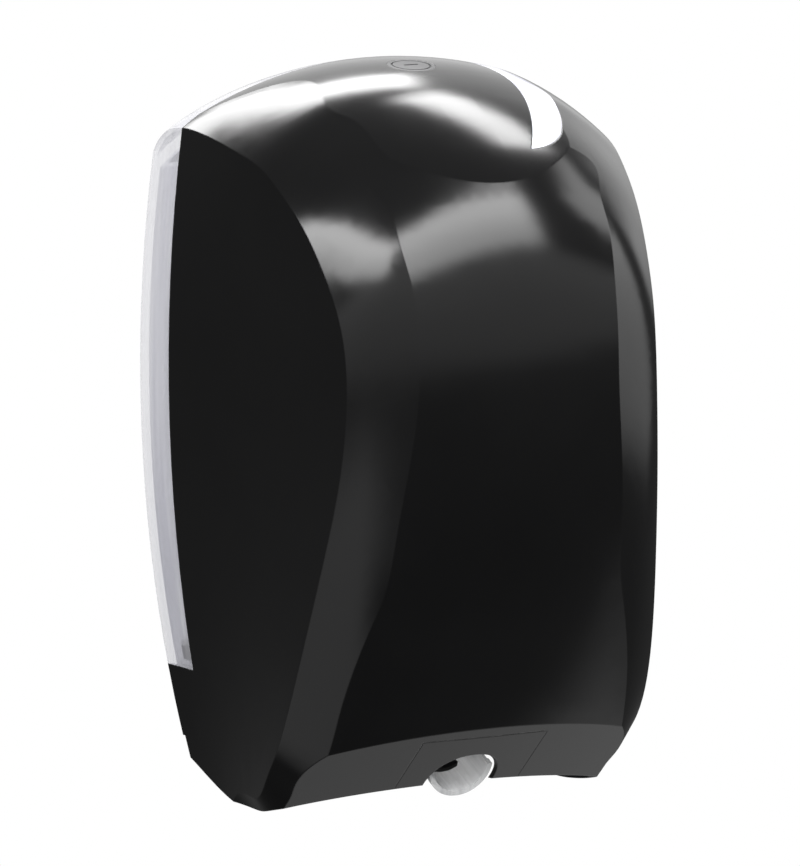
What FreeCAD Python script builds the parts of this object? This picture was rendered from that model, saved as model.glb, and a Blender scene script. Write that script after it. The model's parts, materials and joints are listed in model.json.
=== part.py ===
import FreeCAD, Part
import math
import os
import re
import Sketcher
from FreeCAD import Placement, Rotation, Vector

# Centre-pull paper towel dispenser with a sprung outlet lever. Millimetres, +Z up, -Y is the front.
# The origin is the centre of the four wall screws on the wall plane y = 0.
# Heights below are taken from the cover's bottom edge, then lowered by mount_height.

os.makedirs("parts", exist_ok=True)
doc = FreeCAD.newDocument("towel_dispenser")
sheet = doc.addObject("Spreadsheet::Sheet", "sizes")

SIZES = {
    # the cover's outer form
    "cover_width": 250.0,
    "cover_depth": 199.0,
    "cover_height": 372.0,
    "mount_height": 190.0,
    "wall": 2.6,
    "band_depth": 24.6,
    "band_foot": 56.0,
    "wall_gap": 1.0,
    "tongue": 1.8,
    "tongue_overlap": 6.0,
    "seam": 0.1,
    "ledge": 3.0,
    "lip_width": 72.0,
    "lip_level": 34.0,
    # back plate and its rim
    "plate": 3.0,
    "plate_inset": 5.8,
    "plate_foot": 8.0,
    "rim_depth": 20.0,
    "rim_wall": 2.0,
    "screw_pitch_wide": 150.0,
    "screw_pitch_high": 200.0,
    "screw_hole": 2.75,
    "boss": 8.0,
    "boss_rise": 2.0,
    # cover hinge
    "hinge_depth": 12.0,
    "hinge_level": 9.0,
    "hinge_pin": 3.0,
    "knuckle": 5.5,
    "block_inset": 41.0,
    "block_width": 24.0,
    "block_knuckle": 8.0,
    "block_height": 30.0,
    "arm_gap": 0.5,
    "arm_depth": 38.0,
    "arm_height": 34.0,
    "pin_head": 4.6,
    "pin_head_thick": 2.0,
    "pin_grip": 6.0,
    "fit": 0.05,
    # lock in the cover's top
    "lock_depth": 67.4,
    "button": 12.5,
    "button_drop": 13.0,
    "stem": 5.0,
    "lock_wire": 0.5,
    "lock_coils": 3.0,
    "housing": 16.5,
    "housing_drop": 23.0,
    "housing_floor": 2.0,
    "latch_drop": 32.0,
    "latch_thick": 4.0,
    "latch_width": 18.0,
    "latch_rear": 17.0,
    "tooth": 5.7,
    "tooth_rise": 1.2,
    "strike_front": 26.0,
    "strike_thick": 3.0,
    "strike_drop": 26.5,
    "strike_width": 26.0,
    "guide_wall": 2.4,
    "side_gap": 0.4,
    # roll shelf and its brackets
    "shelf_level": 57.0,
    "shelf": 3.0,
    "shelf_rim": 2.0,
    "shelf_front": 150.0,
    "bracket_place": 58.0,
    "bracket_thick": 8.0,
    "bracket_reach": 62.0,
    "bracket_drop": 25.0,
    "rib_place": 84.0,
    "rib_thick": 2.5,
    "rib_reach": 30.0,
    "rib_height": 210.0,
    # outlet funnel
    "outlet_depth": 98.0,
    "funnel_flange": 36.0,
    "funnel_mouth": 30.0,
    "throat": 16.0,
    "funnel_wall": 2.5,
    "funnel_drop": 15.0,
    "ring_height": 4.0,
    "ring_wall": 2.0,
    "diaphragm": 1.2,
    "diaphragm_bore": 7.0,
    # outlet lever, a half pipe that tips on a pin
    "lever_tilt": 22.0,
    "lever_radius": 17.4,
    "lever_wall": 2.2,
    "lever_length": 70.0,
    "lip_band": 5.0,
    "lip_rise": 0.7,
    "pivot_gap": 1.0,
    "pivot_level": 39.5,
    "lever_pin": 2.5,
    "ear_wall": 3.5,
    "ear_round": 6.0,
    "cheek_gap": 0.6,
    "cheek": 3.2,
    "cheek_depth": 14.0,
    "pad_thick": 2.0,
    "spring_wire": 0.45,
    "spring_length": 11.0,
    "spring_coils": 10.0,
    # screws
    "screw_head": 3.2,
    "screw_head_rise": 1.8,
    "screw_shank": 1.4,
}
# places that follow the sizes above
FOLLOWING = {
    "block_outer": "=cover_width / 2 - block_inset",
    "block_inner": "=block_outer - block_width",
    "pin_reach": "=block_outer + pin_grip",
    "button_level": "=cover_height - button_drop",
    "housing_level": "=cover_height - housing_drop",
    "latch_level": "=cover_height - latch_drop",
    "strike_lip": "=cover_height - strike_drop",
    "pivot_depth": "=outlet_depth - funnel_mouth - cheek_depth / 2 - pivot_gap",
}
for line, (alias, number) in enumerate([*SIZES.items(), *FOLLOWING.items()], 1):
    sheet.set(f"A{line}", str(number))
    sheet.setAlias(f"A{line}", alias)
doc.recompute()


def size(alias):
    """One number from the sheet."""
    return float(sheet.get(alias))


def bound(text):
    """A formula of sheet names, as an expression."""
    return re.sub(r"[a-z][a-z0-9_]*", lambda found: "sizes." + found.group(0), str(text))


def value_of(text):
    """The present value of a formula of sheet names."""
    found = sheet.evalExpression(str(text))
    return getattr(found, "Value", found)


def place(item, at, turn=None):
    """Put an object at x, y and a height over the cover's bottom edge."""
    item.Placement = Placement(Vector(0, 0, 0), turn or Rotation())
    item.setExpression(".Placement.Base.x", bound(at[0]))
    item.setExpression(".Placement.Base.y", bound(at[1]))
    item.setExpression(".Placement.Base.z", bound(f"({at[2]}) - mount_height"))
    return item


def box(label, extent, at):
    item = doc.addObject("Part::Box", label)
    for key, value in zip(("Length", "Width", "Height"), extent):
        item.setExpression(key, bound(value))
    return place(item, at)


ALONG = {
    "x": Rotation(Vector(0, 1, 0), 90),
    "front": Rotation(Vector(1, 0, 0), 90),
    "up": Rotation(),
}


def rod(label, radius, length, at, along="up"):
    item = doc.addObject("Part::Cylinder", label)
    item.setExpression("Radius", bound(radius))
    item.setExpression("Height", bound(length))
    return place(item, at, ALONG[along])


def fuse(label, *items):
    item = doc.addObject("Part::MultiFuse", label)
    item.Shapes = list(items)
    item.Refine = True
    return item


def cut(label, base, *tools):
    """Take the tools from the base, one after another."""
    for index, tool in enumerate(tools):
        item = doc.addObject("Part::Cut", label if index == len(tools) - 1 else f"{label}_{index}")
        item.Base = base
        item.Tool = tool
        item.Refine = True
        base = item
    return base


def common(label, *items):
    item = doc.addObject("Part::MultiCommon", label)
    item.Shapes = list(items)
    item.Refine = True
    return item


def mirrored(label, item):
    """The same piece on the other side of the middle plane."""
    copy = doc.addObject("Part::Mirroring", label)
    copy.Source = item
    copy.Normal = (1, 0, 0)
    return copy


def computed(label, shape):
    """A moulding that no single feature makes."""
    item = doc.addObject("Part::Feature", label)
    item.Shape = shape
    item.Placement = Placement(Vector(0, 0, -size("mount_height")), Rotation()) * shape.Placement
    return item


# ---------------------------------------------------------------- the cover's form

# depth from the wall, half width, level of the widest place,
# crest and its fullness, foot and its fullness
STATIONS = [
    (-15, 160, 180, 358, 0.94, -152, 0.70),
    (0, 166, 181, 363.5, 0.93, -149, 0.67),
    (45, 179.5, 182, 376.5, 0.78, -128, 0.17),
    (85, 173, 165.5, 375, 0.71, -105, 0.24),
    (115, 150, 169, 366, 0.77, -44, 0.63),
    (140, 120.5, 187, 353, 0.89, -40, 0.73),
    (160, 101, 202, 336, 0.92, 16.5, 0.78),
    (175, 84.2, 212, 318, 0.95, 82, 0.80),
    (188, 60.5, 221, 299.5, 0.97, 125, 0.82),
    (200, 45.5, 230, 283, 0.98, 170, 0.84),
]
# level, the front panel's depth at the middle and its radius in plan
PANEL = [
    (-50, 100, 260),
    (10, 144.5, 260),
    (50, 163.6, 260),
    (100, 177.1, 260),
    (150, 188.2, 260),
    (200, 195, 258),
    (240, 196, 245),
    (275, 191.3, 215),
    (305, 181, 150),
    (327, 167.2, 114),
    (341, 155, 104),
    (354, 134.5, 100),
    (366, 107, 96),
    (376, 80, 96),
]
PANEL_REACH = 112.0
# depth and the level of the bottom edge at the middle; the edge falls towards the sides
FOOT = [
    (-20, 24), (0, 15), (20, 3.5), (40, -3), (60, -4.5), (80, -2.5), (100, 2),
    (120, 4.4), (140, 5.2), (160, 6), (180, 7), (200, 8), (220, 9),
]
FOOT_RADIUS = 575.0
# level, depth at the middle and radius in plan of the flared chin
CHIN = [(-60, 49, 540), (60, 183, 500)]
# depth, then the side facet's half width at three levels
SIDES = [
    (-15, 99.0, 128.0, 117.0),
    (25, 95.0, 118.9, 111.3),
    (150, 112.3, 94.6, 95.6),
    (225, 124.0, 80.0, 86.0),
]
SIDE_LEVELS = (0, 185, 340)
WIDE = size("cover_width") / 250.0
DEEP = size("cover_depth") / 199.0
HIGH = size("cover_height") / 372.0
FAR = 500.0


def conic(start, corner, end, fullness):
    curve = Part.BezierCurve()
    curve.setPoles([start, corner, end])
    curve.setWeight(2, fullness)
    return curve.toShape()


def arc(start, middle, end):
    return Part.Arc(start, middle, end).toShape()


def segment(start, end):
    return Part.LineSegment(start, end).toShape()


def pillow(inset):
    """The soft body: closed sections of four conics, lofted from the wall to the front."""
    rings = []
    for depth, half, level, crest, crest_full, foot, foot_full in STATIONS:
        y = -depth * (DEEP - inset / 199.0)
        half = half * WIDE - inset
        crest = crest * HIGH - inset
        foot = foot * HIGH + inset
        level = level * HIGH
        right, left = Vector(half, y, level), Vector(-half, y, level)
        top, low = Vector(0, y, crest), Vector(0, y, foot)
        rings.append(Part.Wire([
            conic(right, Vector(half, y, crest), top, crest_full),
            conic(top, Vector(-half, y, crest), left, crest_full),
            conic(left, Vector(-half, y, foot), low, foot_full),
            conic(low, Vector(half, y, foot), right, foot_full),
        ]))
    return Part.makeLoft(rings, True, False)


def side_cutter(inset, hand):
    """All that lies outside one side facet."""
    rings = []
    for depth, *halves in SIDES:
        y = -depth * DEEP
        points = [Vector(half * WIDE - inset, y, level * HIGH) for half, level in zip(halves, SIDE_LEVELS)]
        circle = Part.Circle(*points)
        centre = circle.Center
        bulge = 1 if points[1].x > centre.x else -1
        low, high = -80 * HIGH, 420 * HIGH

        def edge(level):
            reach = math.sqrt(circle.Radius ** 2 - (level - centre.z) ** 2)
            return Vector(hand * (centre.x + bulge * reach), y, level)

        rings.append(Part.Wire([
            arc(edge(low), edge(points[1].z), edge(high)),
            segment(edge(high), Vector(hand * FAR, y, high)),
            segment(Vector(hand * FAR, y, high), Vector(hand * FAR, y, low)),
            segment(Vector(hand * FAR, y, low), edge(low)),
        ]))
    return Part.makeLoft(rings, True, False)


def turned(outline, start, axis, degrees):
    """A flat outline turned half way each side of the middle plane."""
    face = Part.Face(Part.Wire(outline))
    face.rotate(start, axis, -degrees / 2)
    return face.revolve(start, axis, degrees)


def bowed(level, nose, radius, reach):
    """A closed outline at one level: an arc bowed to the front, straight wings, then out to the front."""
    half = min(reach / radius, 0.82)
    side, depth = radius * math.sin(half), nose - radius * (1 - math.cos(half))
    wing, back = side + 60 * math.cos(half), depth - 60 * math.sin(half)
    right, left = Vector(side, -depth, level), Vector(-side, -depth, level)
    right_tip, left_tip = Vector(wing, -back, level), Vector(-wing, -back, level)
    return Part.Wire([
        arc(right, Vector(0, -nose, level), left),
        segment(left, left_tip),
        segment(left_tip, Vector(-wing, -FAR, level)),
        segment(Vector(-wing, -FAR, level), Vector(wing, -FAR, level)),
        segment(Vector(wing, -FAR, level), right_tip),
        segment(right_tip, right),
    ])


def panel_cutter(inset):
    """All that lies in front of the barrel-shaped front panel."""
    rings = []
    for index, (level, nose, radius) in enumerate(PANEL):
        before, after = PANEL[max(index - 1, 0)], PANEL[min(index + 1, len(PANEL) - 1)]
        slope = (after[1] - before[1]) * DEEP / ((after[0] - before[0]) * HIGH)
        step = inset * math.hypot(1, slope)
        rings.append(bowed(level * HIGH, nose * DEEP - step, radius * WIDE - step, PANEL_REACH * WIDE))
    return Part.makeLoft(rings, True, False)


def crown_cutter(inset):
    """All that lies above the rounded top facet."""
    depth, level, radius = 47.6 * DEEP, 202.6 * HIGH, 172.0 * HIGH - inset

    def on(angle):
        return Vector(0, -(depth + radius * math.sin(angle)), level + radius * math.cos(angle))

    rear, front = math.radians(-40), math.radians(75)
    return turned([
        arc(on(rear), on((rear + front) / 2), on(front)),
        segment(on(front), Vector(0, on(front).y, FAR)),
        segment(Vector(0, on(front).y, FAR), Vector(0, on(rear).y, FAR)),
        segment(Vector(0, on(rear).y, FAR), on(rear)),
    ], Vector(0, 0, 151.0 * HIGH), Vector(0, 1, 0), 140)


def chin_cutter(inset):
    """All that lies in front of the chin, which leans forward as it rises."""
    rings = []
    (low, deep_low, _), (high, deep_high, _) = CHIN
    lean = (deep_high - deep_low) * DEEP / ((high - low) * HIGH)
    for level, nose, radius in CHIN:
        rings.append(bowed(level * HIGH, nose * DEEP - inset * math.hypot(1, lean), radius * WIDE, 160 * WIDE))
    return Part.makeLoft(rings, True, True)


def foot_cutter():
    """All that lies under the bottom edge, which falls towards the sides."""
    rings = []
    reach = 150.0 * WIDE
    drop = reach ** 2 / (2 * FOOT_RADIUS * WIDE)
    for depth, level in FOOT:
        y, z = -depth * DEEP, level * HIGH
        rings.append(Part.Wire([
            arc(Vector(reach, y, z - drop), Vector(0, y, z), Vector(-reach, y, z - drop)),
            segment(Vector(-reach, y, z - drop), Vector(-reach, y, -FAR)),
            segment(Vector(-reach, y, -FAR), Vector(reach, y, -FAR)),
            segment(Vector(reach, y, -FAR), Vector(reach, y, z - drop)),
        ]))
    return Part.makeLoft(rings, True, False)


def form(inset):
    """The cover's outer form, or the same form stepped inward."""
    shape = pillow(inset)
    for hand in (1, -1):
        shape = shape.cut(side_cutter(inset, hand))
    shape = shape.cut(panel_cutter(inset))
    shape = shape.cut(crown_cutter(inset))
    return shape.cut(chin_cutter(inset))


def room(x0, x1, d0, d1, z0, z1):
    """A box between two widths, two depths from the wall and two levels."""
    return Part.makeBox(x1 - x0, d1 - d0, z1 - z0, Vector(x0, -d1, z0))


def flat(level, points):
    """A closed outline of arcs, three points to each, at one level."""
    edges = []
    for start, middle, end in points:
        edges.append(arc(Vector(start[0], -start[1], level), Vector(middle[0], -middle[1], level),
                         Vector(end[0], -end[1], level)))
    return Part.Wire(edges)


def crescent(grow):
    """The refill window's outline as an upright prism, grown or shrunk."""
    inner = ((43, 46), (47.2, 88), (26.5, 151.5))
    tip = ((26.5, 151.5), (39, 147.3), (51, 137.5))
    outer = ((51, 137.5), (65.6, 100), (62, 50))
    end = ((62, 50), (52, 45.2), (43, 46))
    level = 280.0 * HIGH
    scaled = [[(x * WIDE, d * DEEP) for x, d in run] for run in (inner, tip, outer, end)]
    face = Part.Face(flat(level, scaled))
    if grow:
        face = Part.Face(face.OuterWire.makeOffset2D(grow))
    return face.extrude(Vector(0, 0, 160))


wall = size("wall")
wall_gap = size("wall_gap")
band_depth = size("band_depth")
band_foot = size("band_foot") * HIGH
tongue_start = band_depth - size("tongue_overlap")
seam = size("seam")
lock_depth = size("lock_depth")

rear_end = room(-FAR, FAR, -FAR, wall_gap, -FAR, FAR)
hinge_relief = room(-FAR, FAR, -FAR, size("hinge_depth") - 9, -FAR, size("hinge_level") + 8)
whole = form(0)
outer = whole.cut(rear_end).cut(hinge_relief).cut(foot_cutter())
middle = form(wall)
deep = form(wall + size("tongue"))

# ---------------------------------------------------------------- the cover

band_zone = room(-FAR, FAR, -FAR, band_depth, band_foot, FAR)
skin = outer.cut(band_zone).cut(middle).cut(crescent(0))

arch_half, arch_top, arch_foot = 20.2, 22.2, 5.0
notch = Part.Face(Part.Wire([
    conic(Vector(arch_half, 0, arch_foot), Vector(arch_half, 0, arch_top), Vector(0, 0, arch_top), 0.85),
    conic(Vector(0, 0, arch_top), Vector(-arch_half, 0, arch_top), Vector(-arch_half, 0, arch_foot), 0.85),
    segment(Vector(-arch_half, 0, arch_foot), Vector(-arch_half, 0, -30)),
    segment(Vector(-arch_half, 0, -30), Vector(arch_half, 0, -30)),
    segment(Vector(arch_half, 0, -30), Vector(arch_half, 0, arch_foot)),
])).extrude(Vector(0, -200, 0))
notch.translate(Vector(0, -90, 0))
bore = Part.makeCylinder(size("button") + size("fit"), FAR, Vector(0, -lock_depth, size("housing_level")))
moulding = skin.cut(notch).cut(bore)
lip_zone = room(-size("lip_width") / 2, size("lip_width") / 2, 90, FAR, -FAR, size("lip_level"))
computed("cover_skin", moulding.cut(lip_zone))
computed("chin_lip", moulding.common(lip_zone))

clear_zone = room(-FAR, FAR, -FAR, band_depth - seam, band_foot + seam, FAR)
tongue_zone = room(-FAR, FAR, tongue_start, band_depth + size("tongue_overlap"), band_foot + seam, FAR)
band = outer.common(clear_zone).fuse(middle.common(tongue_zone))
computed("rear_window_band", band.cut(middle.cut(tongue_zone)).cut(deep))

window = outer.common(crescent(-seam)).fuse(middle.common(crescent(size("ledge"))))
computed("crescent_window", window.cut(deep))

inner_form = computed("inner_form", middle)
tongue_form = computed("tongue_form", deep)

clip_body = box("clip_body", ("240", "tongue_overlap", "8"),
                ("-120", "tongue_overlap - band_depth", "band_foot + 4"))
clip_head = rod("clip_head", "tongue_overlap / 2", "240",
                ("-120", "tongue_overlap * 1.5 - band_depth", "band_foot + 12"), "x")
clip_blank = common("clip_blank", inner_form, fuse("clip_shape", clip_body, clip_head))
cut("window_clips", clip_blank, tongue_form)

arm_x = "block_outer + arm_gap"
arm_block = box("arm_block", ("40", "arm_depth - hinge_depth", "arm_height - plate_foot"),
                (arm_x, "-arm_depth", "hinge_level - knuckle"))
arm_eye = rod("arm_eye", "knuckle", "40", (arm_x, "-hinge_depth", "hinge_level"), "x")
arm_hole = rod("arm_hole", "hinge_pin + fit", "pin_reach + 0.5 - block_outer",
               ("block_outer", "-hinge_depth", "hinge_level"), "x")
arm_shape = common("arm_shape", fuse("arm_solid", arm_block, arm_eye), inner_form)
arm_right = cut("cover_arm_right", arm_shape, arm_hole)
mirrored("cover_arm_left", arm_right)

# ---------------------------------------------------------------- the lock


def coil_of(wire, radius, rise, turns, foot):
    """A coil spring with round wire; foot is the middle of its lowest wire."""
    helix = Part.makeHelix(rise / turns, rise, radius)
    disc = Part.makeCircle(wire, Vector(radius, 0, 0), Vector(0, -1, 0))
    spring = Part.Wire([*helix.Edges]).makePipeShell([Part.Wire([disc])], True, True)
    spring.translate(foot)
    return spring


lock_y = "-lock_depth"
housing_rod = rod("housing_rod", "housing", "60", ("0", lock_y, "housing_level"))
housing_head = common("housing_head", housing_rod, inner_form)
cheek_block = box("cheek_block", ("latch_width + 2 * (side_gap + guide_wall)", "8", "13"),
                  ("-(latch_width / 2 + side_gap + guide_wall)", "-lock_depth + 6", "housing_level - 13"))
cheek_slot = box("cheek_slot", ("latch_width + 2 * side_gap", "10", "11"),
                 ("-(latch_width / 2 + side_gap)", "-lock_depth + 5", "housing_level - 14"))
housing_bore = rod("housing_bore", "button + fit", "60", ("0", lock_y, "housing_level + housing_floor"))
stem_bore = rod("stem_bore", "stem + fit", "20", ("0", lock_y, "housing_level - 10"))
cheeks = cut("latch_cheeks", cheek_block, cheek_slot)
cut("lock_housing", fuse("housing_body", housing_head, cheeks), housing_bore, stem_bore)

crown_form = computed("crown_form", whole)
groove_form = computed("groove_form", crown_cutter(0.7))
slot_form = computed("slot_form", crown_cutter(1.6))
head = common("button_head", rod("button_rod", "button", "60", ("0", lock_y, "button_level")), crown_form)
shank = rod("button_stem", "stem", "button_level - latch_level - latch_thick + 1",
            ("0", lock_y, "latch_level + latch_thick"))
spigot = rod("button_spigot", "stem * 0.6", "latch_thick + 3", ("0", lock_y, "latch_level - 2"))
groove_tube = cut("groove_tube", rod("groove_outer", "button * 0.84", "60", ("0", lock_y, "button_level")),
                  rod("groove_inner", "button * 0.77", "60", ("0", lock_y, "button_level")))
groove = common("button_groove", groove_tube, groove_form)
key_box = box("key_box", ("button * 0.62", "button * 0.14", "60"),
              ("-button * 0.31", "-lock_depth - button * 0.07", "button_level"))
key_slot = common("key_slot", key_box, slot_form)
cut("lock_button", fuse("button_solid", head, shank, spigot), groove, key_slot)

bar = box("latch_bar", ("latch_width", "lock_depth - latch_rear + stem * 2", "latch_thick"),
          ("-latch_width / 2", "-lock_depth - stem * 2", "latch_level"))
tooth = box("latch_tooth", ("latch_width", "tooth", "latch_thick / 2 + tooth_rise"),
            ("-latch_width / 2", "-latch_rear - tooth", "latch_level + latch_thick / 2"))
bar_hole = rod("bar_hole", "stem * 0.6 + fit", "20", ("0", lock_y, "latch_level - 5"))
cut("latch_hook", fuse("latch_solid", bar, tooth), bar_hole)
clip_ring = rod("clip_ring", "stem * 1.05", "1", ("0", lock_y, "latch_level - 1"))
clip_bore = rod("clip_bore", "stem * 0.6 + fit", "3", ("0", lock_y, "latch_level - 2"))
cut("button_clip", clip_ring, clip_bore)

spring_radius = (size("stem") + size("button")) / 2
spring_foot = size("housing_level") + size("housing_floor") + size("lock_wire")
spring_rise = size("button_level") - spring_foot - size("lock_wire")
computed("lock_spring", coil_of(size("lock_wire"), spring_radius, spring_rise, size("lock_coils"),
                                Vector(0, -lock_depth, spring_foot)))

plate_y = "-strike_front"
strike_shelf = box("strike_shelf", ("strike_width", "strike_front - plate", "strike_thick"),
                   ("-strike_width / 2", plate_y, "strike_lip + 3.5"))
strike_lip = box("strike_tooth", ("strike_width", "strike_thick", "5"),
                 ("-strike_width / 2", plate_y, "strike_lip"))
strike_base = box("strike_base", ("strike_width", "strike_thick", "24"),
                  ("-strike_width / 2", "-plate - strike_thick", "strike_lip + strike_thick + 3.5 - 24"))
STRIKE_SCREWS = [("-8", "-plate", "strike_lip - 12"), ("8", "-plate", "strike_lip - 12")]


def screws(label, spots, seat, along):
    """A group of pan head screws; seat is the thickness each one clamps."""
    solids = []
    for index, (x, y, z) in enumerate(spots):
        mark = f"{label}_{index}"
        if along == "front":
            head_at = (x, f"{y} - ({seat})", z)
            shank_at = (x, f"{y} + plate - 0.5", z)
        else:
            head_at = (x, y, f"{z} + ({seat})")
            shank_at = (x, y, f"{z} - 8")
        top = rod(f"{mark}_head", "screw_head", "screw_head_rise", head_at, along)
        reach = f"({seat}) + plate - 0.5 + 0.2" if along == "front" else f"({seat}) + 8.2"
        shaft = rod(f"{mark}_shank", "screw_shank", reach, shank_at, along)
        if along == "front":
            drive_at = (f"{x} - screw_head * 0.6", f"{y} - ({seat}) - screw_head_rise", f"{z} - 0.4")
            drive = box(f"{mark}_drive", ("screw_head * 1.2", "screw_head_rise * 0.5", "0.8"), drive_at)
            cross_at = (f"{x} - 0.4", f"{y} - ({seat}) - screw_head_rise", f"{z} - screw_head * 0.6")
            cross = box(f"{mark}_cross", ("0.8", "screw_head_rise * 0.5", "screw_head * 1.2"), cross_at)
        else:
            lift = f"{z} + ({seat}) + screw_head_rise * 0.5"
            drive = box(f"{mark}_drive", ("screw_head * 1.2", "0.8", "screw_head_rise * 0.5"),
                        (f"{x} - screw_head * 0.6", f"{y} - 0.4", lift))
            cross = box(f"{mark}_cross", ("0.8", "screw_head * 1.2", "screw_head_rise * 0.5"),
                        (f"{x} - 0.4", f"{y} - screw_head * 0.6", lift))
        solids.append(cut(f"{mark}_screw", fuse(f"{mark}_solid", top, shaft), drive, cross))
    return fuse(label, *solids)


def pilot_holes(mark, spots, along, length, back):
    """Holes that pass a group of screw shanks with a running clearance."""
    holes = []
    for index, (x, y, z) in enumerate(spots):
        at = (x, f"{y} + ({back})", z) if along == "front" else (x, y, f"{z} - ({back})")
        holes.append(rod(f"{mark}_{index}", "screw_shank + fit", length, at, along))
    return holes


cut("latch_strike", fuse("strike_solid", strike_shelf, strike_lip, strike_base),
    *pilot_holes("strike_hole", STRIKE_SCREWS, "front", "20", "5"))
screws("strike_screws", STRIKE_SCREWS, "strike_thick", "front")

# ---------------------------------------------------------------- the back

HINGE_SCREWS = [(f"{side}(block_inner + 6)", "-plate", level) for side in ("", "-")
                for level in ("plate_foot + 6", "block_height - 5")]
plate_outer = form(size("plate_inset"))
plate_inner = form(size("plate_inset") + size("rim_wall"))
opening = plate_outer.cut(room(-FAR, FAR, -FAR, 0, -FAR, FAR))
opening = opening.cut(room(-FAR, FAR, -FAR, FAR, -FAR, size("plate_foot")))
mouth = max((face for face in opening.Faces if abs(face.CenterOfMass.y) < 1e-6), key=lambda face: face.Area)
tray = plate_outer.common(mouth.extrude(Vector(0, -size("rim_depth"), 0)))
tray = tray.cut(room(-FAR, FAR, size("plate"), FAR, -FAR, band_foot))
cavity = plate_inner.cut(room(-FAR, FAR, -FAR, size("plate"), -FAR, FAR))
tray_form = computed("tray_form", tray.cut(cavity))
bosses = []
bolt_holes = []
for index, (side, rise) in enumerate([(-1, -1), (1, -1), (-1, 1), (1, 1)]):
    spot = (f"{side} * screw_pitch_wide / 2", f"mount_height + {rise} * screw_pitch_high / 2")
    bosses.append(rod(f"boss_{index}", "boss", "boss_rise + 1", (spot[0], "1 - plate", spot[1]), "front"))
    bolt_holes.append(rod(f"bolt_hole_{index}", "screw_hole", "20", (spot[0], "5", spot[1]), "front"))
plate_body = fuse("plate_body", tray_form, *bosses)
cut("back_plate", plate_body, *bolt_holes, *pilot_holes("plate_hinge_hole", HINGE_SCREWS, "front", "20", "8"),
    *pilot_holes("plate_strike_hole", STRIKE_SCREWS, "front", "20", "8"))

block_flange = box("block_flange", ("block_outer - block_inner", "plate", "block_height - plate_foot"),
                   ("block_inner", "-2 * plate", "plate_foot + 0.5"))
block_arm = box("block_arm", ("block_knuckle", "hinge_depth - plate", "knuckle * 2"),
                ("block_outer - block_knuckle", "-hinge_depth", "hinge_level - knuckle"))
block_eye = rod("block_eye", "knuckle", "block_knuckle",
                ("block_outer - block_knuckle", "-hinge_depth", "hinge_level"), "x")
block_hole = rod("block_hole", "hinge_pin + fit", "40", ("block_inner", "-hinge_depth", "hinge_level"), "x")
block_right = cut("hinge_block_right", fuse("block_solid", block_flange, block_arm, block_eye), block_hole,
                  *pilot_holes("block_screw_hole", HINGE_SCREWS[:2], "front", "20", "8"))
mirrored("hinge_block_left", block_right)
pin_start = "block_outer - block_knuckle"
pin_right = fuse("hinge_pin_right",
                 rod("hinge_shaft", "hinge_pin", f"pin_reach - ({pin_start}) + 1",
                     (f"{pin_start} - 1", "-hinge_depth", "hinge_level"), "x"),
                 rod("hinge_head", "pin_head", "pin_head_thick",
                     (f"{pin_start} - pin_head_thick", "-hinge_depth", "hinge_level"), "x"))
mirrored("hinge_pin_left", pin_right)
screws("hinge_screws", HINGE_SCREWS, "plate", "front")

# ---------------------------------------------------------------- shelf, brackets and guides

SHELF_SCREWS = [(f"{side}(bracket_place + bracket_thick / 2)", f"-plate - bracket_reach * {part}", "shelf_level")
                for side in ("", "-") for part in ("0.35", "0.8")]
shelf_low, shelf_top = size("shelf_level"), size("shelf_level") + size("shelf")
shelf_zone = room(-FAR, FAR, size("plate"), size("shelf_front"), shelf_low, shelf_top)
shelf_lip_zone = room(-FAR, FAR, size("plate"), size("shelf_front"), shelf_low, shelf_top + size("shelf_rim"))
shelf_core = form(size("plate_inset") + 2 * size("rim_wall"))
rim_zone = shelf_lip_zone.cut(shelf_core)
shelf_form = computed("shelf_form", plate_inner.common(shelf_zone.fuse(rim_zone)))
mouth_hole = rod("mouth_hole", "funnel_mouth + 0.4", "20", ("0", "-outlet_depth", "shelf_level - 5"))
YOKE_SCREWS = [(f"{side}(lever_radius + cheek_gap + cheek + 5)", "-pivot_depth", "shelf_level")
               for side in ("", "-")]
cut("roll_shelf", shelf_form, mouth_hole,
    *pilot_holes("shelf_hole", SHELF_SCREWS + YOKE_SCREWS, "up", "30", "12"))


def body(label):
    return doc.addObject("PartDesign::Body", label)


def plane(part, role):
    return next(item for item in part.Origin.OriginFeatures if item.Role == role)


def sketch_on(part, role, label, lift=None):
    """A sketch on one of the body's own planes, lifted along its normal by a formula."""
    sketch = part.newObject("Sketcher::SketchObject", label)
    sketch.AttachmentSupport = (plane(part, role), [""])
    sketch.MapMode = "FlatFace"
    if lift:
        sketch.setExpression("AttachmentOffset.Base.z", bound(lift))
    return sketch


def outline(sketch, points):
    """A closed run of straight edges, both places of every corner bound to the sheet."""
    start = sketch.GeometryCount
    guess = [(value_of(across), value_of(above)) for across, above in points]
    count = len(points)
    for index in range(count):
        tail, tip = guess[index], guess[(index + 1) % count]
        sketch.addGeometry(Part.LineSegment(Vector(*tail, 0), Vector(*tip, 0)))
    for index in range(count):
        sketch.addConstraint(Sketcher.Constraint("Coincident", start + index, 2, start + (index + 1) % count, 1))
    for index, (across, above) in enumerate(points):
        for kind, text, value in (("DistanceX", across, guess[index][0]), ("DistanceY", above, guess[index][1])):
            number = sketch.addConstraint(Sketcher.Constraint(kind, -1, 1, start + index, 1, value))
            sketch.setExpression(f"Constraints[{number}]", bound(text))


def circle(sketch, radius, across, above):
    number = sketch.addGeometry(Part.Circle(Vector(value_of(across), value_of(above), 0), Vector(0, 0, 1),
                                            value_of(radius)))
    for kind, text in (("DistanceX", across), ("DistanceY", above)):
        index = sketch.addConstraint(Sketcher.Constraint(kind, -1, 1, number, 3, value_of(text)))
        sketch.setExpression(f"Constraints[{index}]", bound(text))
    index = sketch.addConstraint(Sketcher.Constraint("Radius", number, value_of(radius)))
    sketch.setExpression(f"Constraints[{index}]", bound(radius))


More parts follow.
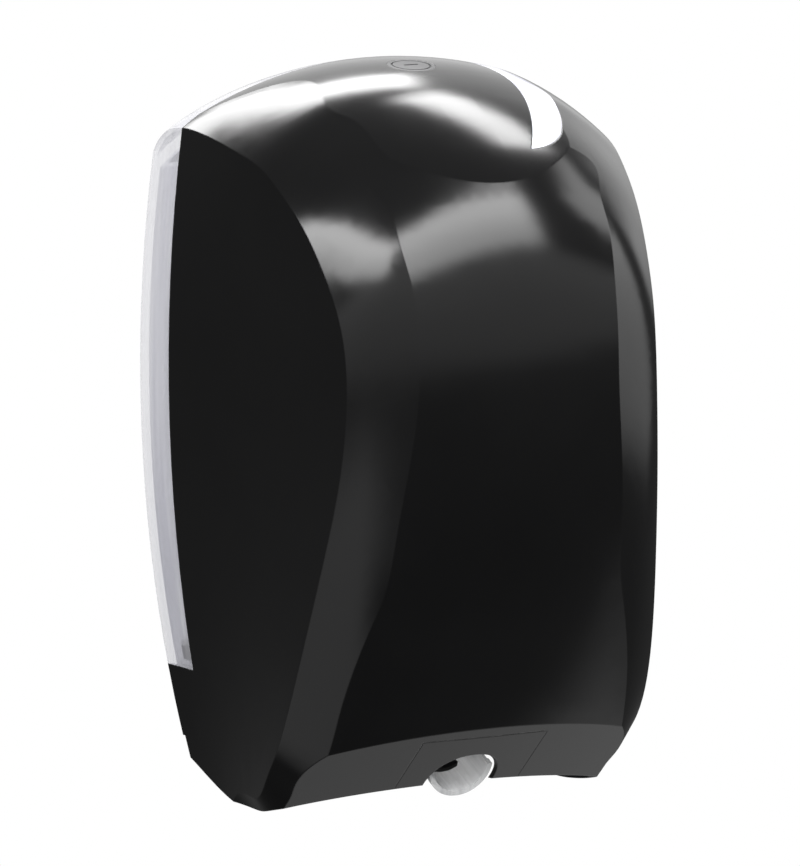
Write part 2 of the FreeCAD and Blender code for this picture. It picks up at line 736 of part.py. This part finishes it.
def pad(part, sketch, label, length, both_sides=False, backwards=False):
    item = part.newObject("PartDesign::Pad", label)
    item.Profile = sketch
    item.Midplane = both_sides
    item.Reversed = backwards
    item.setExpression("Length", bound(length))
    return item


def pocket(part, sketch, label, length, both_sides=False, backwards=False):
    item = part.newObject("PartDesign::Pocket", label)
    item.Profile = sketch
    item.Midplane = both_sides
    item.Reversed = backwards
    item.setExpression("Length", bound(length))
    return item


# Sketches on the YZ plane run along y and z, and their pads along x.
bracket = body("bracket_blank")
profile = sketch_on(bracket, "YZ_Plane", "bracket_profile", "bracket_place")
outline(profile, [
    ("-plate", "shelf_level - mount_height"),
    ("-plate", "shelf_level - bracket_drop - mount_height"),
    ("-plate - 9", "shelf_level - bracket_drop - mount_height"),
    ("-plate - bracket_reach", "shelf_level - 6 - mount_height"),
    ("-plate - bracket_reach", "shelf_level - mount_height"),
])
pad(bracket, profile, "bracket_pad", "bracket_thick")
bracket_right = cut("shelf_bracket_right", bracket,
                    *pilot_holes("bracket_hole", SHELF_SCREWS[:2], "up", "30", "12"))
mirrored("shelf_bracket_left", bracket_right)
screws("shelf_screws", SHELF_SCREWS, "shelf", "up")

guide = body("roll_guide_right")
profile = sketch_on(guide, "YZ_Plane", "guide_profile", "rib_place")
outline(profile, [
    ("-plate", "shelf_level + 13 - mount_height"),
    ("-plate - rib_reach / 2", "shelf_level + 13 - mount_height"),
    ("-plate - rib_reach", "shelf_level + 31 - mount_height"),
    ("-plate - rib_reach", "shelf_level - 5 + rib_height - mount_height"),
    ("-plate - rib_reach / 2", "shelf_level + 13 + rib_height - mount_height"),
    ("-plate", "shelf_level + 13 + rib_height - mount_height"),
])
pad(guide, profile, "guide_pad", "rib_thick")
mirrored("roll_guide_left", guide)

# ---------------------------------------------------------------- funnel and its brake diaphragm

funnel = body("outlet_funnel")
profile = sketch_on(funnel, "XZ_Plane", "funnel_profile")
outline(profile, [
    ("funnel_flange", "shelf_level + shelf"),
    ("funnel_flange", "shelf_level + shelf + 2"),
    ("funnel_mouth", "shelf_level + shelf + 2"),
    ("throat", "shelf_level + shelf - funnel_drop"),
    ("throat", "shelf_level + shelf - funnel_drop - 6"),
    ("throat + funnel_wall", "shelf_level + shelf - funnel_drop - 6"),
    ("throat + funnel_wall", "shelf_level + shelf - funnel_drop - 1"),
    ("funnel_mouth", "shelf_level + shelf"),
])
turn = funnel.newObject("PartDesign::Revolution", "funnel_turn")
turn.Profile = profile
turn.ReferenceAxis = (profile, ["V_Axis"])
turn.Angle = 360
place(funnel, ("0", "-outlet_depth", "0"))

tube_foot = "shelf_level + shelf - funnel_drop - 6"
cut("brake_diaphragm",
    rod("diaphragm_disc", "throat + funnel_wall", "diaphragm", ("0", "-outlet_depth", f"{tube_foot} - diaphragm")),
    rod("diaphragm_hole", "diaphragm_bore", "10", ("0", "-outlet_depth", f"{tube_foot} - 5")))
ring_blank = rod("ring_blank", "throat + funnel_wall + ring_wall", "ring_height + diaphragm + 1.2",
                 ("0", "-outlet_depth", f"{tube_foot} - diaphragm - 1.2"))
ring_seat = rod("ring_seat", "throat + funnel_wall + fit", "20",
                ("0", "-outlet_depth", f"{tube_foot} - diaphragm"))
ring_bore = rod("ring_bore", "throat - 2", "20", ("0", "-outlet_depth", f"{tube_foot} - 10"))
cut("nozzle_ring", ring_blank, ring_seat, ring_bore)

# ---------------------------------------------------------------- outlet lever, its pin and bracket

lever = body("outlet_lever")


def half_ring(sketch, radius, inner):
    """The lower half of a pipe's section, round the sketch's origin."""
    start = sketch.GeometryCount
    r0, r1 = value_of(radius), value_of(inner)
    for value in (r0, r1):
        sketch.addGeometry(Part.ArcOfCircle(Part.Circle(Vector(0, 0, 0), Vector(0, 0, 1), value),
                                            math.pi, 2 * math.pi))
    sketch.addGeometry(Part.LineSegment(Vector(r0, 0, 0), Vector(r1, 0, 0)))
    sketch.addGeometry(Part.LineSegment(Vector(-r1, 0, 0), Vector(-r0, 0, 0)))
    join = Sketcher.Constraint
    for one in (0, 1):
        sketch.addConstraint(join("Coincident", start + one, 3, -1, 1))
    for one, end, other, side in ((0, 2, 2, 1), (1, 2, 2, 2), (1, 1, 3, 1), (0, 1, 3, 2)):
        sketch.addConstraint(join("Coincident", start + one, end, start + other, side))
    for one in (0, 1):
        sketch.addConstraint(join("PointOnObject", start + one, 1, -1))
        sketch.addConstraint(join("PointOnObject", start + one, 2, -1))
    for one, text in ((0, radius), (1, inner)):
        index = sketch.addConstraint(join("Radius", start + one, value_of(text)))
        sketch.setExpression(f"Constraints[{index}]", bound(text))


profile = sketch_on(lever, "XZ_Plane", "chute_profile")
half_ring(profile, "lever_radius", "lever_radius - lever_wall")
pad(lever, profile, "chute", "lever_length")
profile = sketch_on(lever, "XZ_Plane", "lip_profile", "lever_length - lip_band")
half_ring(profile, "lever_radius + lip_rise", "lever_radius - lever_wall")
pad(lever, profile, "rolled_lip", "lip_band")
profile = sketch_on(lever, "YZ_Plane", "ear_profile")
outline(profile, [
    ("ear_round * 0.4", "-ear_round"),
    ("ear_round", "-ear_round * 0.4"),
    ("ear_round", "ear_round * 0.4"),
    ("ear_round * 0.4", "ear_round"),
    ("-ear_round * 0.6", "ear_round"),
    ("-ear_round * 3", "-0.6"),
    ("-ear_round * 3", "-ear_round"),
])
pad(lever, profile, "ears", "2 * lever_radius", both_sides=True)
profile = sketch_on(lever, "YZ_Plane", "gap_profile")
outline(profile, [
    ("ear_round * 2", "-ear_round - 0.2"),
    ("ear_round * 2", "ear_round * 2"),
    ("-ear_round * 4", "ear_round * 2"),
    ("-ear_round * 4", "-ear_round - 0.2"),
])
pocket(lever, profile, "between_ears", "2 * (lever_radius - ear_wall)", both_sides=True)
profile = sketch_on(lever, "YZ_Plane", "pin_profile")
circle(profile, "lever_pin + fit", "0", "0")
pocket(lever, profile, "pin_hole", "4 * lever_radius", both_sides=True)


def on_lever(item):
    """Carry a piece that was built round the pivot to its place on the lever."""
    return place(item, ("0", "-pivot_depth", "pivot_level"), Rotation(Vector(1, 0, 0), size("lever_tilt")))


def round_pivot(item, at):
    """Place a piece in the lever's own axes, before the lever is tilted."""
    for axis, text in zip("xyz", at):
        item.setExpression(f".Placement.Base.{axis}", bound(text))
    return item


on_lever(lever)
pad_start = "-lever_length * 0.45"
pad_outer = round_pivot(rod("pad_outer", "lever_radius - lever_wall", "20", ("0", "0", "0"), "front"),
                        ("0", pad_start, "0"))
pad_inner = round_pivot(rod("pad_inner", "lever_radius - lever_wall - pad_thick", "20", ("0", "0", "0"), "front"),
                        ("0", pad_start, "0"))
pad_zone = round_pivot(box("pad_zone", ("lever_radius", "40", "lever_radius"), ("0", "0", "0")),
                       ("-lever_radius / 2", f"{pad_start} - 30", "-lever_radius"))
on_lever(cut("brake_pad", common("pad_sector", pad_outer, pad_zone), pad_inner))

spring_side = size("lever_radius") - size("ear_wall") - size("spring_length") - size("spring_wire")
spring = coil_of(size("spring_wire"), size("lever_pin") + 0.35 + size("spring_wire"), size("spring_length"),
                 size("spring_coils"), Vector(0, 0, 0))
spring.rotate(Vector(0, 0, 0), Vector(0, 1, 0), 90)
spring.translate(Vector(spring_side, -size("pivot_depth"), size("pivot_level")))
computed("lever_spring", spring)

cheek_in = "lever_radius + cheek_gap"
cheek_out = "lever_radius + cheek_gap + cheek"
yoke_y = "-pivot_depth - cheek_depth / 2"
yoke_block = box("yoke_block", (f"2 * ({cheek_out})", "cheek_depth", "shelf_level - pivot_level + 6.5"),
                 (f"-({cheek_out})", yoke_y, "pivot_level - 6.5"))
yoke_gap = box("yoke_gap", (f"2 * ({cheek_in})", "40", "shelf_level - pivot_level + 4"),
               (f"-({cheek_in})", "-pivot_depth - 20", "pivot_level - 6.5"))
yoke_foot = box("yoke_foot", (f"2 * ({cheek_out} + 9)", "cheek_depth", "2.5"),
                (f"-({cheek_out} + 9)", yoke_y, "shelf_level - 2.5"))
yoke_hole = rod("yoke_hole", "lever_pin + fit", "80", ("-40", "-pivot_depth", "pivot_level"), "x")
cut("lever_bracket", fuse("yoke_solid", cut("yoke_cheeks", yoke_block, yoke_gap), yoke_foot), yoke_hole,
    *pilot_holes("yoke_screw_hole", YOKE_SCREWS, "up", "30", "12"))
pin_y = "-pivot_depth"
fuse("lever_pin",
     rod("lever_shaft", "lever_pin", f"2 * ({cheek_out}) + 2.5", (f"-({cheek_out}) - 2", pin_y, "pivot_level"), "x"),
     rod("lever_pin_head", "lever_pin * 1.7", "1.6", (cheek_out, pin_y, "pivot_level"), "x"))
cut("pin_clip",
    rod("pin_clip_disc", "lever_pin * 1.7", "0.9", (f"-({cheek_out}) - 0.9", pin_y, "pivot_level"), "x"),
    rod("pin_clip_bore", "lever_pin + fit", "4", (f"-({cheek_out}) - 3", pin_y, "pivot_level"), "x"))
screws("bracket_screws", YOKE_SCREWS, "shelf", "up")

# ---------------------------------------------------------------- writing the pieces

NODES = """
cover_skin chin_lip rear_window_band crescent_window window_clips cover_arm_right cover_arm_left lock_housing
lock_button lock_spring latch_hook button_clip latch_strike strike_screws back_plate
hinge_block_right hinge_block_left hinge_pin_right hinge_pin_left hinge_screws roll_shelf shelf_bracket_right shelf_bracket_left shelf_screws
roll_guide_right roll_guide_left outlet_funnel brake_diaphragm nozzle_ring outlet_lever brake_pad lever_spring
lever_bracket lever_pin pin_clip bracket_screws
""".split()
doc.recompute()
for item in doc.Objects:
    if "Invalid" in item.State or "Error" in item.State:
        raise RuntimeError(f"{item.Label} did not recompute: {item.State}")
for name in NODES:
    found = doc.getObjectsByLabel(name)
    if len(found) != 1:
        raise RuntimeError(f"{name} is the label of {len(found)} objects")
    shape = found[0].Shape
    if shape.isNull() or not shape.isValid() or not shape.Solids:
        raise RuntimeError(f"{name} is not a valid solid")
    shape.exportStep(f"parts/{name}.step")
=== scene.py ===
# %% [markdown]
# # Centre-pull towel dispenser with a clear outlet lever
#
# A wall-mounted box for a paper roll. Its faceted black cover hinges down from a pale back plate,
# clear windows show how much paper is left, and the paper is pulled down over a small clear lever.
# The packed model already holds every piece as a solid, so this script shapes nothing: it gives
# the pieces their materials and sets the light and the camera.
# Lengths are metres. -Y is the front, +Z is up, and the origin is the centre of the wall screws.

# %% Load the frame
import json
import math
import bpy
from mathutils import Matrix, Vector

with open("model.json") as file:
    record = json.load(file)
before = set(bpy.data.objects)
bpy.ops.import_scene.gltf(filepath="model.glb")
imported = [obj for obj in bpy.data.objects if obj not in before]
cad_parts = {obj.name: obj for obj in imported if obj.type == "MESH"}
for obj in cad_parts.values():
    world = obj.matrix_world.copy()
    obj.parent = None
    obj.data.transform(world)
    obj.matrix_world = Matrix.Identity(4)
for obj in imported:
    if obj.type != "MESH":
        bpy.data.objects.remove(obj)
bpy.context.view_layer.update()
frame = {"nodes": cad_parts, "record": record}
nodes = frame["nodes"]
slots = {}
for entry in frame["record"]["subparts"]:
    slots.setdefault(entry["material_slot"], []).append(entry["node"])
print("pieces", len(nodes), "slots", sorted(slots))

# %% [markdown]
# ## Shader maths
#
# A procedural material is a formula over the point being shaded. `Field` wraps one output socket,
# so that such a formula reads like one: every sum, product or limit makes one Math node. Writing
# the nodes out one by one would work too, but the pattern would be lost among the links.

# %% A wrapper for shader sockets
class Field:
    """A signal in a node tree."""

    def __init__(self, build, socket):
        self.build = build
        self.socket = socket

    def _math(self, operation, *values):
        return self.build.node("ShaderNodeMath", values, operation=operation)

    def __add__(self, other):
        return self._math("ADD", self, other)

    def __radd__(self, other):
        return self._math("ADD", other, self)

    def __sub__(self, other):
        return self._math("SUBTRACT", self, other)

    def __rsub__(self, other):
        return self._math("SUBTRACT", other, self)

    def __mul__(self, other):
        return self._math("MULTIPLY", self, other)

    def __rmul__(self, other):
        return self._math("MULTIPLY", other, self)

    def __truediv__(self, other):
        return self._math("DIVIDE", self, other)

    def __rtruediv__(self, other):
        return self._math("DIVIDE", other, self)

    def least(self, other):
        return self._math("MINIMUM", self, other)

    def size(self):
        return self._math("ABSOLUTE", self, 0.0)

    def sine(self):
        return self._math("SINE", self, 0.0)

    def ramp(self, low, high):
        """Nought at low, one at high, eased between; low may be the larger."""
        return self.build.node("ShaderNodeMapRange", (self, low, high, 0.0, 1.0),
                               interpolation_type="SMOOTHSTEP")


print("Field has", sum(callable(value) for value in vars(Field).values()), "operations")

# %% [markdown]
# ## Node trees
#
# A material and a world are both node trees, so one class builds either. Every node comes from
# `node`, which applies the settings first, then sets constants on the sockets and links the rest.
# The methods below it are the few nodes that the recipes use again and again.

# %% A builder for materials and worlds
def colour(red, green, blue):
    return (red, green, blue, 1.0)


class Build:
    """A material or world and the nodes in it."""

    def __init__(self, owner):
        self.owner = owner
        owner.use_nodes = True
        self.tree = owner.node_tree

    def node(self, kind, values=(), out=0, **settings):
        """A node by type: values fill its inputs in order or by name."""
        item = self.tree.nodes.new(kind)
        for key, value in settings.items():
            setattr(item, key, value)
        pairs = values.items() if isinstance(values, dict) else enumerate(values)
        for key, value in pairs:
            self.fill(item.inputs[key], value)
        return Field(self, item.outputs[out])

    def fill(self, socket, value):
        if isinstance(value, Field):
            self.tree.links.new(value.socket, socket)
        else:
            socket.default_value = value

    def place(self):
        """The point being shaded, in the frame's own metres."""
        return self.node("ShaderNodeTexCoord", out="Object")

    def split(self, vector):
        item = self.tree.nodes.new("ShaderNodeSeparateXYZ")
        self.fill(item.inputs[0], vector)
        return [Field(self, item.outputs[axis]) for axis in range(3)]

    def scaled(self, vector, factors):
        return self.node("ShaderNodeVectorMath", (vector, factors), operation="MULTIPLY")

    def dot(self, vector, way):
        """How far a vector reaches along a fixed direction."""
        return self.node("ShaderNodeVectorMath", (vector, tuple(way)), out="Value",
                         operation="DOT_PRODUCT")

    def noise(self, vector, scale, detail=3.0, rough=0.5):
        return self.node("ShaderNodeTexNoise", {"Vector": vector, "Scale": scale, "Detail": detail,
                                                "Roughness": rough}, out="Fac")

    def mix(self, factor, one, other):
        """Two colours by a factor."""
        item = self.tree.nodes.new("ShaderNodeMix")
        item.data_type = "RGBA"
        factor_input, one_input, other_input = item.inputs[0], item.inputs[6], item.inputs[7]
        self.fill(factor_input, factor)
        self.fill(one_input, one)
        self.fill(other_input, other)
        return Field(self, item.outputs[2])

    def facing(self, blend):
        """Low where a surface faces the viewer and high where it is seen edge on."""
        return self.node("ShaderNodeLayerWeight", {"Blend": blend}, out="Facing")

    def bump(self, height, strength, distance):
        return self.node("ShaderNodeBump", {"Height": height, "Strength": strength,
                                            "Distance": distance})

    def rounded(self, radius):
        """Light catches an edge as if it had this radius."""
        return self.node("ShaderNodeBevel", {"Radius": radius}, samples=6)

    def principled(self, **values):
        """Fill the material's own shader; an underscore stands for a space in a socket's name."""
        shader = self.tree.nodes["Principled BSDF"]
        for key, value in values.items():
            self.fill(shader.inputs[key.replace("_", " ")], value)


def start(name):
    """A new material and the point that its patterns are worked out from."""
    build = Build(bpy.data.materials.new(name))
    return build, build.place()


def dress(slot, build):
    """Put a finished material on every piece of its slot."""
    for name in slots[slot]:
        mesh = nodes[name].data
        mesh.materials.clear()
        mesh.materials.append(build.owner)
    print(slot, "on", len(slots[slot]), "pieces,", len(build.tree.nodes), "shader nodes")


print("builder ready for", len(slots), "slots")

# %% [markdown]
# ## The black cover
#
# The cover is black ABS from a polished mould. Such a surface has next to no colour of its own,
# and what the eye reads is reflections. So the base stays near black, and the detail goes into
# the roughness: upright smears where it was wiped, and specks of dust that are a little paler.
# A moulded edge is never quite sharp, so the shader rounds the edges between the facets. A real
# fillet would do that too, at the cost of many small faces.

# %% Glossy black ABS
COVER_EDGE = 0.0011
COVER_ROUGHNESS = 0.15


def black_shell():
    b, p = start("black_abs")
    cloud = b.noise(p, scale=9.0, detail=4.0)
    smear = b.noise(b.scaled(p, (1.0, 1.0, 0.35)), scale=34.0, rough=0.6)
    speck = b.noise(p, scale=1400.0, detail=2.0).ramp(0.70, 0.78)
    tone = b.mix(cloud.ramp(0.3, 0.7), colour(0.0038, 0.0038, 0.0040), colour(0.0052, 0.0052, 0.0054))
    tone = b.mix(speck * 0.2, tone, colour(0.03, 0.03, 0.031))
    rough = COVER_ROUGHNESS + (smear - 0.5) * 0.05 + speck * 0.05
    b.principled(Base_Color=tone, Roughness=rough, Normal=b.rounded(COVER_EDGE), IOR=1.53)
    return b


dress("black_shell", black_shell())

# %% [markdown]
# ## Black and grey mechanism mouldings
#
# Hinge arms, hinge blocks and the lock's housing are nylon, which leaves its mould duller than
# ABS does. The lock button and the nozzle ring are a dark grey. Both get a fine grain that drives
# roughness and bump together, so that a rough spot is also a raised one.

# %% Grained nylon
def grained_nylon(name, grain_scale, grain_detail, tone_scale, dark, light, rough, spread, bump):
    b, p = start(name)
    grain = b.noise(p, scale=grain_scale, detail=grain_detail)
    tone = b.mix(b.noise(p, scale=tone_scale), dark, light)
    b.principled(Base_Color=tone, Roughness=rough + (grain - 0.5) * spread, Normal=b.bump(grain, *bump))
    return b


dress("black_inner", grained_nylon(
    "black_nylon", grain_scale=1100.0, grain_detail=3.0, tone_scale=26.0,
    dark=colour(0.014, 0.014, 0.015), light=colour(0.024, 0.024, 0.025),
    rough=0.42, spread=0.16, bump=(0.2, 0.0002)))
dress("lock_grey", grained_nylon(
    "lock_grey", grain_scale=1800.0, grain_detail=2.0, tone_scale=60.0,
    dark=colour(0.040, 0.040, 0.043), light=colour(0.055, 0.055, 0.058),
    rough=0.36, spread=0.1, bump=(0.12, 0.0001)))

# %% [markdown]
# ## Natural acetal
#
# The funnel, and the hook of the latch, slide against paper or metal, so they are acetal, an
# off-white plastic that runs without grease. It differs from the nylon in its numbers only, and
# the same recipe makes it.

# %% Off-white acetal
dress("acetal", grained_nylon(
    "natural_acetal", grain_scale=900.0, grain_detail=3.0, tone_scale=30.0,
    dark=colour(0.70, 0.70, 0.67), light=colour(0.80, 0.80, 0.77),
    rough=0.33, spread=0.1, bump=(0.1, 0.0001)))

# %% [markdown]
# ## Pale grey ABS
#
# The back plate, shelf, brackets and guides are a pale lavender grey. Faint upright flow streaks come from
# noise that is stretched along Z. Below the shelf the colour turns to darker grey blotches towards the foot:
# their mask is a noise times a ramp over height.

# %% Pale ABS with flow streaks, darker blotches towards the foot
FOOT_DARKENING_TOP = -0.08
FOOT_DARKENING_FULL = -0.13


def light_abs():
    b, p = start("pale_abs")
    height = b.split(p)[2]
    grain = b.noise(p, scale=1500.0)
    streak = b.noise(b.scaled(p, (60.0, 60.0, 3.0)), scale=1.0, detail=2.0)
    tone = b.mix(streak.ramp(0.35, 0.65), colour(0.60, 0.60, 0.67), colour(0.72, 0.72, 0.79))
    # darker grey blotches that grow towards the foot, below the shelf
    foot_blotches = b.noise(p, scale=18.0, detail=5.0).ramp(0.55, 0.8) * height.ramp(FOOT_DARKENING_TOP, FOOT_DARKENING_FULL)
    tone = b.mix(foot_blotches * 0.3, tone, colour(0.42, 0.41, 0.40))
    b.principled(Base_Color=tone, Roughness=0.38 + (grain - 0.5) * 0.12,
                 Normal=b.bump(grain, 0.12, 0.00015))
    return b


dress("light_abs", light_abs())

# %% [markdown]
# ## Clear windows
#
# The band round the rear and the crescent beside the lock are clear polycarbonate over a pale
# inside. True refraction would need thick walls and many bounces, and would not survive a bake,
# so each is a thin coat instead: alpha lets the inside through, and rises where the wall is seen
# edge on, because there the eye looks through more plastic.

# %% The clear band
POLYCARBONATE = 1.58


def clear_shell():
    b, p = start("clear_band")
    streak = b.noise(b.scaled(p, (55.0, 90.0, 2.2)), scale=1.0, detail=2.0).ramp(0.40, 0.66)
    tone = b.mix(streak, colour(0.80, 0.80, 0.86), colour(0.97, 0.97, 1.0))
    cover = 0.22 + b.facing(0.35) * 0.45 + streak * 0.16
    b.principled(Base_Color=tone, Roughness=0.06, Alpha=cover.least(0.9), IOR=POLYCARBONATE)
    return b


dress("clear_shell", clear_shell())

# %% [markdown]
# The crescent is nearly opaque to the eye and carries slanted soft waves. They are a sine over a
# slanted distance, bent by a noise so that no two run alike. A little emission stands in for the
# light that enters the pale plastic elsewhere and leaves it here.

# %% The crescent window
def frosted_window():
    b, p = start("crescent_window")
    x, y, z = b.split(p)
    slant = (x * 0.8 - y * 0.55 + z * 0.3) * 260.0
    wave = (slant + b.noise(p, scale=22.0) * 5.0).sine() * 0.5 + 0.5
    tone = b.mix(wave.ramp(0.25, 0.95), colour(0.90, 0.90, 0.97), colour(0.70, 0.70, 0.80))
    b.principled(Base_Color=tone, Roughness=0.10, Alpha=0.90 - wave * 0.05,
                 Emission_Color=tone, Emission_Strength=0.12, IOR=POLYCARBONATE)
    return b


dress("frosted_window", frosted_window())

# %% [markdown]
# ## The clear lever
#
# The lever is the half pipe that the paper is pulled over. It is clear too, and its streaks are painted
# highlights in near white and grey bands that run along the half pipe: fine across X and long along the
# other axes. They raise both roughness and cover as well.

# %% Clear polycarbonate with painted highlight streaks
def clear_lever():
    b, p = start("clear_lever")
    streak = b.noise(b.scaled(p, (420.0, 14.0, 14.0)), scale=1.0)
    # painted highlights: the streaks band the colour from near white to grey along the lever
    tone = b.mix(streak.ramp(0.35, 0.7), colour(0.95, 0.96, 0.97), colour(0.55, 0.56, 0.58))
    cover = 0.40 + b.facing(0.4) * 0.42 + streak.ramp(0.5, 0.8) * 0.2
    b.principled(Base_Color=tone, Roughness=0.09 + streak * 0.08, Alpha=cover.least(0.95),
                 IOR=POLYCARBONATE)
    return b


dress("clear_lever", clear_lever())

# %% [markdown]
# ## Metal
#
# Pins and the strike are zinc plated steel, the screws are brighter, and the springs and clips are
# drawn wire. One recipe serves all three: a noise whose stretch says which way the metal was
# brushed, mixed into a darker and a lighter grey and into the roughness.

# %% Plated and drawn steel
STEELS = {
    # slot: darkest grey, lightest grey, roughness, noise scale along each axis
    "zinc_steel": (0.48, 0.66, 0.34, (900.0, 2600.0, 2600.0)),
    "zinc_screw": (0.50, 0.70, 0.30, (2400.0, 2400.0, 2400.0)),
    "spring_steel": (0.34, 0.52, 0.26, (1500.0, 1500.0, 1500.0)),
}


def steel(name, low, high, rough, stretch):
    b, p = start(name)
    brush = b.noise(b.scaled(p, stretch), scale=1.0, rough=0.6)
    tone = b.mix(brush, colour(low, low, low * 0.98), colour(high, high, high * 0.99))
    b.principled(Base_Color=tone, Metallic=1.0, Roughness=rough + (brush - 0.5) * 0.2)
    return b


for slot, values in STEELS.items():
    dress(slot, steel(slot, *values))

# %% [markdown]
# ## Rubber
#
# The brake diaphragm that grips the paper and the lever's pad are black rubber: very rough, and
# with a coarser bump than the plastics, so that no reflection forms on them.

# %% Moulded rubber
def black_rubber():
    b, p = start("black_rubber")
    grain = b.noise(p, scale=700.0, detail=4.0)
    tone = b.mix(grain, colour(0.016, 0.016, 0.016), colour(0.034, 0.034, 0.033))
    b.principled(Base_Color=tone, Roughness=0.72 + (grain - 0.5) * 0.2, Normal=b.bump(grain, 0.4, 0.0003))
    return b


dress("black_rubber", black_rubber())

# %% [markdown]
# ## Light
#
# Gloss shows what stands around it, so the light is a studio built into the world: dim walls with
# soft boxes painted on them by direction. Area lamps could light the cover as well, but their
# hard outlines would show in it. Each box is a rectangle on a plane that faces the object, with
# feathered edges, and some fade toward their foot. Camera rays see plain white instead of the
# studio, so the ground behind the object stays bare.

# %% Painting a soft box
sky = Build(bpy.data.worlds.new("studio"))
bpy.context.scene.world = sky.owner
sky.tree.nodes.clear()
way = sky.node("ShaderNodeTexCoord", out="Generated")
UP = (0.0, 0.0, 1.0)


def toward(azimuth, elevation):
    """A direction: azimuth from the front to the right, elevation upward, in degrees."""
    turn, rise = math.radians(azimuth), math.radians(elevation)
    return Vector((math.sin(turn) * math.cos(rise), -math.cos(turn) * math.cos(rise), math.sin(rise)))


def soft_box(azimuth, elevation, wide, high, feather, power, roll=0.0, fade=0.0):
    """Light from a rectangle of directions, with half sizes in degrees; fade dims its foot."""
    centre = toward(azimuth, elevation)
    across = Vector(UP).cross(centre).normalized()
    above = centre.cross(across)
    lean = math.radians(roll)
    across, above = (across * math.cos(lean) + above * math.sin(lean),
                     above * math.cos(lean) - across * math.sin(lean))
    deep = sky.dot(way, centre)
    reach, edge, soft = (math.tan(math.radians(angle)) for angle in (wide, high, feather))
    over = sky.dot(way, across) / deep
    up = sky.dot(way, above) / deep
    within_sides = over.size().ramp(reach + soft / 2, reach - soft / 2)
    within_ends = up.size().ramp(edge + soft / 2, edge - soft / 2)
    mask = within_sides * within_ends
    if fade:
        mask = mask * (1.0 - fade * up.ramp(edge, -edge))
    in_front = deep.ramp(0.02, 0.1)
    return mask * in_front * power


print("the first box looks toward", [round(part, 2) for part in toward(173, 39)])

# %% [markdown]
# Each box is there for one reflection on the cover. The two above the rear light the crown and
# the dome around the lock, which face up and away. The two at the front give the left strip and
# the panel their soft upper bands, which end in black lower down because the boxes fade. The rest
# only keep the far sides from sinking into the dark.

# %% The studio
BOXES = {
    "crown": dict(azimuth=173, elevation=39, wide=19, high=6, feather=5, power=9.0),
    "dome": dict(azimuth=128, elevation=52, wide=13, high=5, feather=5, power=11.0, roll=-14),
    "left strip": dict(azimuth=-62, elevation=35, wide=20, high=9, feather=6, power=11.0, roll=4, fade=0.45),
    "panel": dict(azimuth=14, elevation=42, wide=26, high=13, feather=9, power=9.0, fade=0.5),
    "front haze": dict(azimuth=-5, elevation=14, wide=70, high=20, feather=14, power=0.55, fade=0.4),
    "right edge": dict(azimuth=84, elevation=12, wide=10, high=26, feather=8, power=2.6, fade=0.7),
    "rear haze": dict(azimuth=150, elevation=20, wide=40, high=22, feather=20, power=0.9),
    "low left": dict(azimuth=-70, elevation=-35, wide=40, high=20, feather=20, power=0.5),
    "low right": dict(azimuth=110, elevation=-60, wide=40, high=25, feather=20, power=0.45),
}
WALLS = 0.05
CEILING = 0.12
WHITE = colour(1.0, 1.0, 1.0)

total = WALLS + sky.dot(way, UP).ramp(-1.0, 1.0) * CEILING
for box in BOXES.values():
    total = total + soft_box(**box)
lit = sky.node("ShaderNodeBackground", {"Color": WHITE, "Strength": total})
seen = sky.node("ShaderNodeBackground", {"Color": WHITE, "Strength": 1.0})
camera_ray = sky.node("ShaderNodeLightPath", out="Is Camera Ray")
shown = sky.node("ShaderNodeMixShader", (camera_ray, lit, seen))
world_output = sky.tree.nodes.new("ShaderNodeOutputWorld")
sky.tree.links.new(shown.socket, world_output.inputs["Surface"])
print("soft boxes:", ", ".join(BOXES))

# %% [markdown]
# ## Camera
#
# A product picture is taken from far off with a long lens, so that upright edges stay nearly
# parallel. The camera stands 4.5 m away, to the left and a little above. Its lens shift centres
# the object without turning the camera, which would lean the edges.

# %% Camera
AZIMUTH = -27.0
ELEVATION = 9.3
DISTANCE = 4.5
TARGET = Vector((0.0, -0.090, -0.005))
SENSOR = 36.0
PICTURE_HEIGHT = 866.0
FOCAL_PIXELS = 8667.0
SHIFT_RIGHT_PIXELS = -30.8
SHIFT_UP_PIXELS = -3.1

back = toward(AZIMUTH, ELEVATION)
lens = bpy.data.cameras.new("camera")
lens.sensor_width = SENSOR
lens.lens = SENSOR * FOCAL_PIXELS / PICTURE_HEIGHT
lens.shift_x = SHIFT_RIGHT_PIXELS / PICTURE_HEIGHT
lens.shift_y = SHIFT_UP_PIXELS / PICTURE_HEIGHT
lens.clip_end = 50.0
camera = bpy.data.objects.new("camera", lens)
bpy.context.scene.collection.objects.link(camera)
camera.location = TARGET + DISTANCE * back
camera.rotation_euler = back.to_track_quat("Z", "Y").to_euler()
bpy.context.scene.camera = camera
bpy.context.scene.view_settings.view_transform = "Standard"
print("camera at", [round(part, 3) for part in camera.location])
